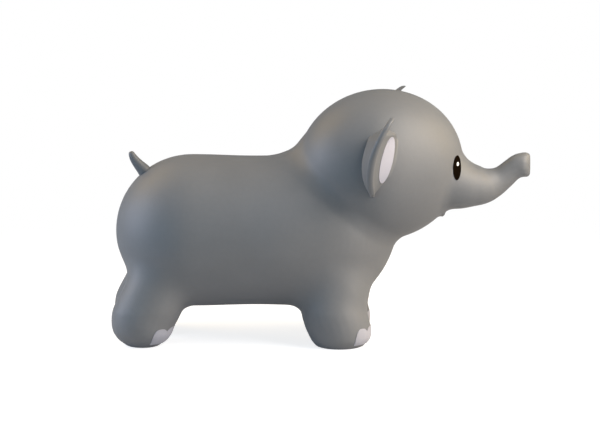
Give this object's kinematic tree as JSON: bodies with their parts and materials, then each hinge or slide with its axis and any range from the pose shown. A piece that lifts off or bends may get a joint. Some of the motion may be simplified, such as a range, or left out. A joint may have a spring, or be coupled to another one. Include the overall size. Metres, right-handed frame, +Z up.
{
  "type": "inflatable elephant hopper",
  "caption": "Ride-on bouncing elephant: a hollow soft-vinyl skin on flat-soled legs, ears as hand grips, a raised trunk, a stub tail and a push-in air plug in the belly.",
  "frame": {"origin": "centre of the overall box at the level of the soles, on the middle plane", "axes": "+X the way the elephant looks, along the trunk; +Y to its left; +Z up"},
  "size_m": [0.5976, 0.3294, 0.3603],
  "materials": {
    "skin_vinyl": "satin",
    "ear_vinyl": "satin",
    "tail_vinyl": "satin",
    "valve_vinyl": "satin",
    "plug_vinyl": "satin",
    "eye_paint": "gloss",
    "highlight_paint": "gloss",
    "lining_paint": "satin",
    "nail_paint": "satin"
  },
  "bodies": {
    "elephant": {"skin": "skin_vinyl", "ear_left": "ear_vinyl", "ear_right": "ear_vinyl", "tail": "tail_vinyl", "valve_seat": "valve_vinyl", "eye_left": "eye_paint", "eye_right": "eye_paint", "eye_highlight_left": "highlight_paint", "eye_highlight_right": "highlight_paint", "ear_lining_left": "lining_paint", "ear_lining_right": "lining_paint", "toenails_front_left": "nail_paint", "toenails_front_right": "nail_paint", "toenails_rear_left": "nail_paint", "toenails_rear_right": "nail_paint"},
    "plug": {"valve_plug": "plug_vinyl"}
  },
  "joints": [
    {"name": "plug_pull", "type": "slide", "parent": "elephant", "child": "plug", "axis": [0, 0, -1], "range_m": [0, 0.03]}
  ]
}
